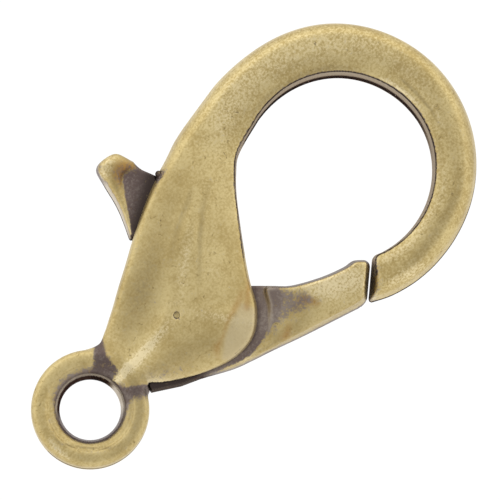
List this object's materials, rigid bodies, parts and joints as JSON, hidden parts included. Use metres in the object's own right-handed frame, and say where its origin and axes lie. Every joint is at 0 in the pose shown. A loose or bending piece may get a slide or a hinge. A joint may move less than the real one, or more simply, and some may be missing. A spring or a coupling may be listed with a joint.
{
  "type": "lobster clasp",
  "caption": "Cast lobster clasp in antique brass: an eye to tie on, a hook with a round loop, and a sprung lever whose gate closes the hook when its thumb tab is let go.",
  "frame": {"origin": "centre of the eye's bore, halfway through the clasp's thickness", "axes": "+X along the line of pull from the eye to the middle of the hook's loop, +Y towards the thumb tab, +Z through the thickness along the eye's bore"},
  "size_m": [0.035, 0.0197, 0.0058],
  "materials": {
    "antique_brass": "antique brass plating on a die casting, satin, darkened in the hollows and rubbed bright on the edges",
    "spring_steel": "drawn spring wire, bare"
  },
  "bodies": {
    "clasp_body": {"body": "antique_brass", "pivot_pin": "antique_brass", "spring": "spring_steel"},
    "clasp_lever": {"lever": "antique_brass"}
  },
  "joints": [
    {"name": "lever_pivot", "type": "hinge", "parent": "clasp_body", "child": "clasp_lever", "pos_m": [0.0081, 0.00055, 0], "axis": [0, 0, 1], "range_deg": [0, 18], "stiffness_Nm_per_rad": 0.01, "springref_deg": -20.05, "deforming": ["spring"]}
  ]
}
